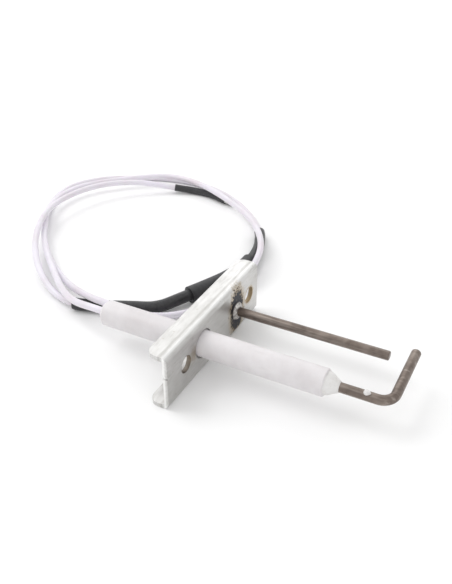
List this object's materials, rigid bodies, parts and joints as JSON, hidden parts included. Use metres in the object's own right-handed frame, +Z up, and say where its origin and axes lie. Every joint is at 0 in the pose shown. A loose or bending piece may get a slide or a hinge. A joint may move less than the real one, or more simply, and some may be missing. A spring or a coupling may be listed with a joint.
{
  "type": "ignition electrode",
  "caption": "Ceramic-insulated spark electrode and welded ground rod on a folded steel bracket, with a spliced high-voltage lead in a loose loop.",
  "frame": {"origin": "midway between the two mounting holes, on the front face of the bracket web", "axes": "+X forward along the two rods, +Y along the bracket from the ceramic towards the ground rod, +Z up across the web"},
  "size_m": [0.1478, 0.1135, 0.0155],
  "materials": {
    "bracket_steel": "bright zinc-plated sheet steel, faintly stained",
    "ceramic": "off-white unglazed alumina, satin",
    "rod_steel": "heat-resistant steel rod, oxidised brown-grey",
    "weld_steel": "bare weld metal, burnt round its edge",
    "cement": "white refractory cement, matt and uneven",
    "terminal_steel": "tinned steel, bright",
    "conductor": "bare stranded copper",
    "lead_insulation": "translucent white silicone, satin",
    "boot_rubber": "black rubber, satin",
    "heat_shrink": "black heat-shrunk tube, satin"
  },
  "bodies": {
    "root": {"mounting_bracket": "bracket_steel", "ceramic_insulator": "ceramic", "electrode_rod": "rod_steel", "ground_rod": "rod_steel", "ground_rod_weld": "weld_steel", "ground_rod_rear_weld": "weld_steel", "nose_cement": "cement", "collar_cement": "cement", "cement_drip": "cement", "rear_seal": "cement", "crimp_ferrule": "terminal_steel", "ceramic_conductor_end": "conductor", "ignition_lead": "lead_insulation", "ignition_tail": "lead_insulation", "lead_conductor_end": "conductor", "tail_conductor_end": "conductor", "terminal_conductor_end": "conductor", "splice_crimp": "terminal_steel", "splice_boot": "boot_rubber", "splice_sleeve": "heat_shrink", "splice_sleeve_far": "heat_shrink", "end_sleeve": "heat_shrink", "end_terminal": "terminal_steel"}
  },
  "joints": []
}
